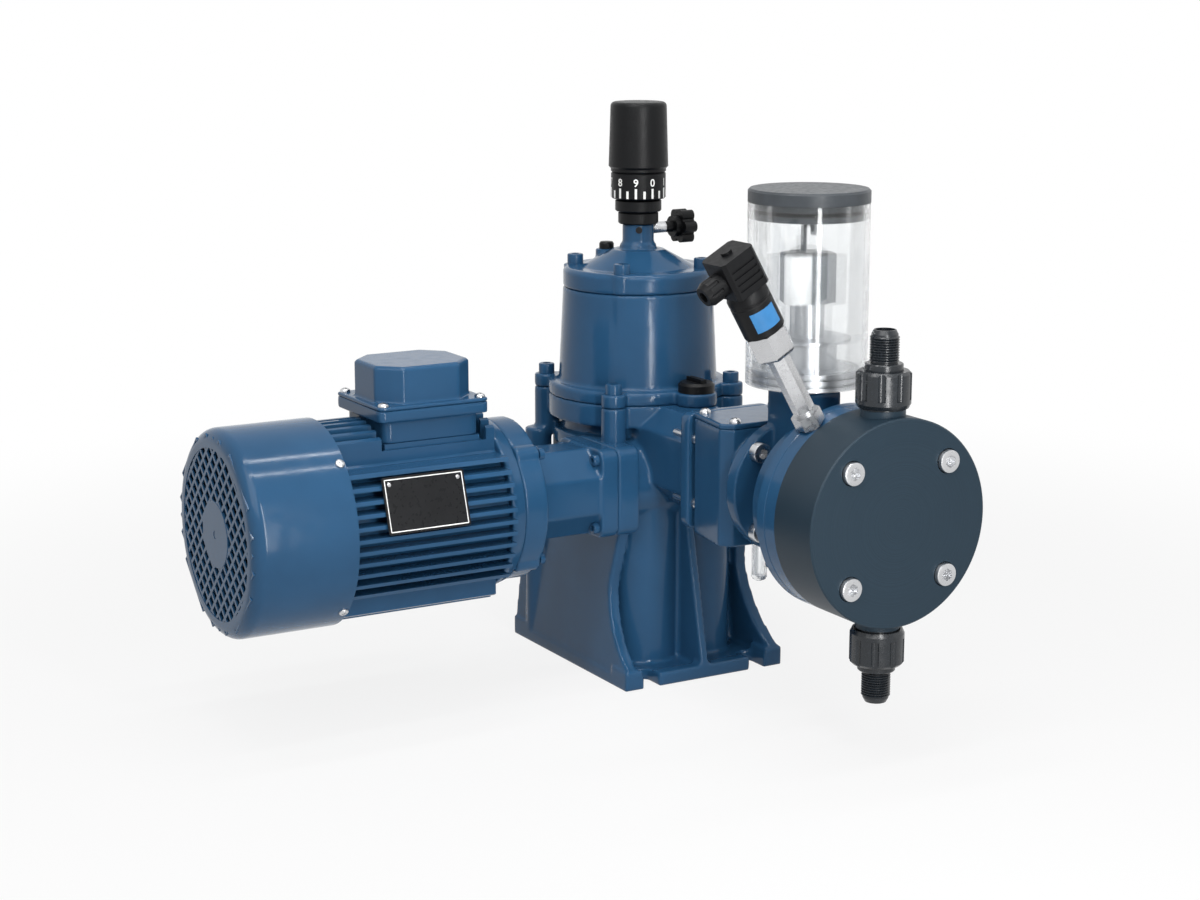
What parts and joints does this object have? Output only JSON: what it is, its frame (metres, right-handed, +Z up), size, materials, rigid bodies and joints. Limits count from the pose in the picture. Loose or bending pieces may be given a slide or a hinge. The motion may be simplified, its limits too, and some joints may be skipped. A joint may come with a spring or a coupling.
{
  "type": "diaphragm metering pump",
  "caption": "Motor-driven hydraulic diaphragm dosing pump: worm gear casing with a stroke knob on top, round plastic head, clear oil reservoir and rupture sensor.",
  "frame": {"origin": "on the standing face, under the axis of the stroke knob and crank", "axes": "+X along the plunger to the pump head, motor toward -Y, +Z up"},
  "size_m": [0.4396, 0.463, 0.453],
  "materials": {
    "adjusting_spindle": "ground",
    "box_lid": "gloss enamel",
    "box_lid_screws": "brushed",
    "breather_plug": "fine texture",
    "casing_screws": "gloss enamel",
    "cooling_fan": "satin",
    "diaphragm": "matte",
    "diaphragm_carrier": "gloss enamel",
    "discharge_ball": "polished",
    "discharge_nipple": "satin",
    "discharge_union_nut": "satin",
    "drain_tube": "clear acrylic",
    "drive_end_shield": "gloss enamel",
    "eccentric_sleeve": "ground",
    "fan_cover": "gloss enamel",
    "fan_cover_screws": "brushed",
    "flange_screws": "ground",
    "gear_bearings": "ground",
    "gear_casing": "gloss enamel",
    "graduated_sleeve": "satin",
    "head_screws": "brushed",
    "hydraulic_box": "gloss enamel",
    "lock_knob": "fine texture",
    "manifold_block": "gloss enamel",
    "manifold_screws": "brushed",
    "motor_adapter": "gloss enamel",
    "motor_bearings": "ground",
    "motor_cable_gland": "gloss enamel",
    "motor_frame": "gloss enamel",
    "oil_filler_plug": "fine texture",
    "plunger": "brushed",
    "plunger_seal": "matte",
    "pressure_switch": "satin",
    "pump_head": "turned matte",
    "rear_end_shield": "gloss enamel",
    "relief_valve": "turned",
    "reservoir_base": "satin",
    "reservoir_lid": "fine texture",
    "reservoir_seal": "matte",
    "reservoir_tube": "clear acrylic",
    "rotor_core": "ground",
    "rotor_shaft": "ground",
    "sensor_gland": "fine texture",
    "sensor_plug": "fine texture",
    "sensor_stem": "brushed",
    "slanted_crank": "ground",
    "stator_core": "ground",
    "stroke_housing": "gloss enamel",
    "stroke_knob": "fine texture",
    "suction_ball": "polished",
    "suction_nipple": "satin",
    "suction_union_nut": "satin",
    "terminal_box": "gloss enamel",
    "terminal_box_lid": "gloss enamel",
    "terminal_box_screws": "brushed",
    "thrust_cup": "ground",
    "top_cap": "gloss enamel",
    "worm_end_cover": "gloss enamel",
    "worm_shaft": "ground",
    "worm_wheel": "machined"
  },
  "bodies": {
    "pump": {"box_lid": "box_lid", "box_lid_screws": "box_lid_screws", "breather_plug": "breather_plug", "casing_screws": "casing_screws", "diaphragm": "diaphragm", "diaphragm_carrier": "diaphragm_carrier", "discharge_nipple": "discharge_nipple", "discharge_union_nut": "discharge_union_nut", "drain_tube": "drain_tube", "drive_end_shield": "drive_end_shield", "fan_cover": "fan_cover", "fan_cover_screws": "fan_cover_screws", "flange_screws": "flange_screws", "gear_bearings": "gear_bearings", "gear_casing": "gear_casing", "graduated_sleeve": "graduated_sleeve", "head_screws": "head_screws", "hydraulic_box": "hydraulic_box", "manifold_block": "manifold_block", "manifold_screws": "manifold_screws", "motor_adapter": "motor_adapter", "motor_bearings": "motor_bearings", "motor_cable_gland": "motor_cable_gland", "motor_frame": "motor_frame", "oil_filler_plug": "oil_filler_plug", "plunger_seal": "plunger_seal", "pressure_switch": "pressure_switch", "pump_head": "pump_head", "rear_end_shield": "rear_end_shield", "relief_valve": "relief_valve", "reservoir_base": "reservoir_base", "reservoir_tube": "reservoir_tube", "sensor_gland": "sensor_gland", "sensor_plug": "sensor_plug", "sensor_stem": "sensor_stem", "stator_core": "stator_core", "stroke_housing": "stroke_housing", "suction_nipple": "suction_nipple", "suction_union_nut": "suction_union_nut", "terminal_box": "terminal_box", "terminal_box_lid": "terminal_box_lid", "terminal_box_screws": "terminal_box_screws", "top_cap": "top_cap", "worm_end_cover": "worm_end_cover"},
    "motor_rotor": {"rotor_shaft": "rotor_shaft", "rotor_core": "rotor_core", "cooling_fan": "cooling_fan", "worm_shaft": "worm_shaft"},
    "crank_wheel": {"worm_wheel": "worm_wheel"},
    "crank": {"slanted_crank": "slanted_crank"},
    "crank_ring": {"eccentric_sleeve": "eccentric_sleeve"},
    "adjuster": {"stroke_knob": "stroke_knob", "adjusting_spindle": "adjusting_spindle"},
    "thrust_cup": {"thrust_cup": "thrust_cup"},
    "plunger": {"plunger": "plunger"},
    "suction_ball": {"suction_ball": "suction_ball"},
    "discharge_ball": {"discharge_ball": "discharge_ball"},
    "lock_knob": {"lock_knob": "lock_knob"},
    "reservoir_lid": {"reservoir_lid": "reservoir_lid", "reservoir_seal": "reservoir_seal"}
  },
  "joints": [
    {"name": "motor_turn", "type": "hinge", "parent": "pump", "child": "motor_rotor", "pos_m": [0.05, 0, 0.1555], "axis": [0, 1, 0], "continuous": true},
    {"name": "wheel_turn", "type": "hinge", "parent": "pump", "child": "crank_wheel", "pos_m": [0, 0, 0.1555], "axis": [0, 0, 1], "continuous": true},
    {"name": "crank_slide", "type": "slide", "parent": "crank_wheel", "child": "crank", "axis": [0, 0, -1], "range_m": [0, 0.015]},
    {"name": "eccentric_shift", "type": "slide", "parent": "crank_wheel", "child": "crank_ring", "axis": [1, 0, 0], "range_m": [0, 0.005]},
    {"name": "knob_turn", "type": "hinge", "parent": "pump", "child": "adjuster", "pos_m": [0, 0, 0.453], "axis": [0, 0, 1], "range_deg": [0, 3600]},
    {"name": "cup_slide", "type": "slide", "parent": "pump", "child": "thrust_cup", "axis": [0, 0, -1], "range_m": [0, 0.015]},
    {"name": "plunger_stroke", "type": "slide", "parent": "pump", "child": "plunger", "axis": [1, 0, 0], "range_m": [-0.005, 0.005]},
    {"name": "suction_ball_lift", "type": "slide", "parent": "pump", "child": "suction_ball", "axis": [0, 0, 1], "range_m": [0, 0.003]},
    {"name": "discharge_ball_lift", "type": "slide", "parent": "pump", "child": "discharge_ball", "axis": [0, 0, 1], "range_m": [0, 0.003]},
    {"name": "lock_turn", "type": "hinge", "parent": "pump", "child": "lock_knob", "pos_m": [0, 0.0368, 0.351], "axis": [0, 1, 0], "range_deg": [0, 360]},
    {"name": "lid_lift", "type": "slide", "parent": "pump", "child": "reservoir_lid", "axis": [0, 0, 1], "range_m": [0, 0.06]}
  ],
  "couplings": [
    {"joint": "wheel_turn", "follows": "motor_turn", "ratio": -0.026316},
    {"joint": "knob_turn", "follows": "cup_slide", "rad_per_m": 4188.8},
    {"joint": "crank_slide", "follows": "cup_slide", "ratio": 1},
    {"joint": "eccentric_shift", "follows": "cup_slide", "ratio": 0.33333}
  ]
}
